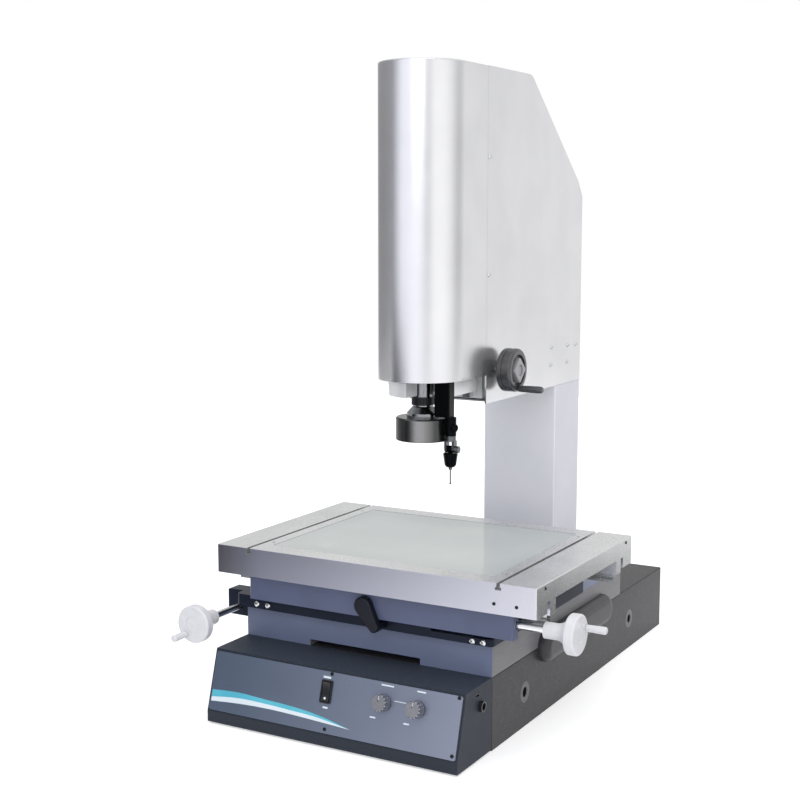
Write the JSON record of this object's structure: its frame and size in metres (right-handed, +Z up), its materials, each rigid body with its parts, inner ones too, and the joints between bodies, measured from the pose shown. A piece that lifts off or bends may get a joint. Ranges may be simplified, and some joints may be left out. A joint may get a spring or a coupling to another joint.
{
  "type": "vision measuring machine",
  "caption": "Manual video measuring machine: granite base with control box, crossed crank-driven glass table, and a column whose head carries a zoom lens, ring lamp and tilting touch probe.",
  "frame": {"origin": "the centre of the underside of the base block, where it rests on its stand", "axes": "+Z up along the column; +X to the operator's right, along the table's long travel; +Y from the operator to the column"},
  "size_m": [0.6041, 0.8235, 0.935],
  "materials": {
    "black_granite": "honed black granite",
    "insert_steel": "turned stainless steel",
    "bed_paint": "dark grey satin paint",
    "ground_steel": "ground steel",
    "cover_plastic": "dark moulded plastic",
    "lamp_metal": "anodised aluminium",
    "bronze": "bearing bronze",
    "saddle_paint": "black satin paint",
    "block_steel": "blackened steel",
    "lever_plastic": "black moulded plastic",
    "table_silver": "silver anodised aluminium",
    "stage_glass": "clear ground glass",
    "drive_paint": "dark blue-grey satin paint",
    "crank_plastic": "white moulded plastic",
    "grip_plastic": "light moulded plastic",
    "box_paint": "dark grey textured paint",
    "panel_film": "dark printed panel",
    "knob_plastic": "black moulded plastic",
    "board": "circuit board",
    "cast_grey": "painted cast iron",
    "column_paint": "light silver grey satin paint",
    "head_silver": "silver grey satin paint",
    "belt_rubber": "belt rubber",
    "carriage_grey": "anodised aluminium",
    "lens_metal": "satin nickelled brass and aluminium",
    "camera_metal": "black anodised aluminium",
    "diffuser": "white diffusing plastic",
    "ring_plastic": "black moulded plastic",
    "probe_metal": "dark anodised aluminium",
    "wheel_plastic": "black moulded plastic",
    "boss_plastic": "light grey moulded plastic"
  },
  "bodies": {
    "base": {"granite_base": "black_granite", "lifting_inserts": "insert_steel", "bed_bars": "bed_paint", "bed_plate": "bed_paint", "y_rails": "ground_steel", "scale_cover": "cover_plastic", "lower_lamp": "lamp_metal", "lower_lamp_lens": "stage_glass", "y_rod_brackets": "saddle_paint", "control_box": "box_paint", "control_panel": "panel_film", "dimmers": "knob_plastic", "control_board": "board", "rocker_bezel": "knob_plastic", "console_sockets": "knob_plastic", "column_post": "cast_grey", "column_cover": "column_paint", "head_frame": "cast_grey", "z_rails": "ground_steel", "z_belt": "belt_rubber", "head_front_cover": "head_silver", "head_rear_cover": "head_silver"},
    "saddle": {"saddle_plate": "saddle_paint", "y_blocks": "block_steel", "x_blocks": "block_steel", "x_nut": "bronze", "y_nut": "bronze"},
    "table": {"table_plate": "table_silver", "glass_plate": "stage_glass", "x_rails": "ground_steel", "drive_cover": "drive_paint", "x_rod_bearings": "block_steel"},
    "x_drive": {"x_rod": "ground_steel", "x_crank": "crank_plastic"},
    "x_crank_grip": {"x_grip": "grip_plastic"},
    "y_drive": {"y_rod": "ground_steel", "y_crank": "crank_plastic"},
    "y_crank_grip": {"y_grip": "grip_plastic"},
    "quick_release": {"release_lever": "lever_plastic"},
    "z_slide_unit": {"z_carriage": "carriage_grey", "z_blocks": "block_steel", "lens_tube": "lens_metal", "camera": "camera_metal", "ring_light": "ring_plastic", "light_diffuser": "diffuser", "probe_head": "probe_metal"},
    "zoom": {"zoom_ring": "camera_metal"},
    "probe_swivel": {"probe_knuckle": "probe_metal"},
    "probe": {"probe_body": "probe_metal", "stylus": "insert_steel"},
    "z_wheel": {"z_shaft": "ground_steel", "z_handwheel": "wheel_plastic", "z_wheel_boss": "boss_plastic"},
    "z_wheel_grip": {"z_grip": "wheel_plastic"},
    "idler": {"idler_pulley": "carriage_grey"},
    "left_knob": {"left_light_knob": "knob_plastic"},
    "right_knob": {"right_light_knob": "knob_plastic"},
    "rocker": {"power_rocker": "knob_plastic"}
  },
  "joints": [
    {"name": "y_slide", "type": "slide", "parent": "base", "child": "saddle", "axis": [0, 1, 0], "range_m": [-0.047, 0.153]},
    {"name": "x_slide", "type": "slide", "parent": "saddle", "child": "table", "axis": [1, 0, 0], "range_m": [-0.1866, 0.1134]},
    {"name": "x_crank_turn", "type": "hinge", "parent": "table", "child": "x_drive", "pos_m": [0.2, -0.3614, 0.187], "axis": [1, 0, 0], "range_deg": [-3360, 2042]},
    {"name": "x_grip_spin", "type": "hinge", "parent": "x_drive", "child": "x_crank_grip", "pos_m": [0.3481, -0.34305, 0.19192], "axis": [1, 0, 0], "continuous": true},
    {"name": "y_crank_turn", "type": "hinge", "parent": "base", "child": "y_drive", "pos_m": [-0.215, -0.3415, 0.1436], "axis": [0, 1, 0], "range_deg": [-847, 2755]},
    {"name": "y_grip_spin", "type": "hinge", "parent": "y_drive", "child": "y_crank_grip", "pos_m": [-0.22696, -0.468, 0.12883], "axis": [0, 1, 0], "continuous": true},
    {"name": "release_turn", "type": "hinge", "parent": "saddle", "child": "quick_release", "pos_m": [0.04, -0.3615, 0.159], "axis": [0, 1, 0], "range_deg": [0, 45]},
    {"name": "z_slide", "type": "slide", "parent": "base", "child": "z_slide_unit", "axis": [0, 0, 1], "range_m": [-0.065, 0.085]},
    {"name": "zoom_turn", "type": "hinge", "parent": "z_slide_unit", "child": "zoom", "pos_m": [0, -0.1695, 0.445], "axis": [0, 0, 1], "range_deg": [-60, 60]},
    {"name": "probe_swivel_turn", "type": "hinge", "parent": "z_slide_unit", "child": "probe_swivel", "pos_m": [0.05, -0.1765, 0.39], "axis": [0, 0, 1], "range_deg": [0, 180]},
    {"name": "probe_tilt", "type": "hinge", "parent": "probe_swivel", "child": "probe", "pos_m": [0.05, -0.1765, 0.377], "axis": [-1, 0, 0], "range_deg": [0, 90]},
    {"name": "z_wheel_turn", "type": "hinge", "parent": "base", "child": "z_wheel", "pos_m": [0.08, -0.0515, 0.484], "axis": [1, 0, 0], "range_deg": [-373, 285]},
    {"name": "z_grip_spin", "type": "hinge", "parent": "z_wheel", "child": "z_wheel_grip", "pos_m": [0.1215, -0.0515, 0.456], "axis": [1, 0, 0], "continuous": true},
    {"name": "idler_turn", "type": "hinge", "parent": "base", "child": "idler", "pos_m": [0.056, -0.0515, 0.82], "axis": [1, 0, 0], "range_deg": [-373, 285]},
    {"name": "left_light_turn", "type": "hinge", "parent": "base", "child": "left_knob", "pos_m": [0.082, -0.42786, 0.0741], "axis": [0, -0.9606, 0.278], "range_deg": [-150, 150]},
    {"name": "right_light_turn", "type": "hinge", "parent": "base", "child": "right_knob", "pos_m": [0.1335, -0.42786, 0.0741], "axis": [0, -0.9606, 0.278], "range_deg": [-150, 150]},
    {"name": "rocker_tilt", "type": "hinge", "parent": "base", "child": "rocker", "pos_m": [-0.0075, -0.42642, 0.07368], "axis": [1, 0, 0], "range_deg": [-8, 8]}
  ],
  "couplings": [
    {"joint": "x_crank_turn", "follows": "x_slide", "rad_per_m": 314.16},
    {"joint": "y_crank_turn", "follows": "y_slide", "rad_per_m": 314.16},
    {"joint": "z_wheel_turn", "follows": "z_slide", "rad_per_m": -76.34},
    {"joint": "idler_turn", "follows": "z_slide", "rad_per_m": -76.34}
  ]
}
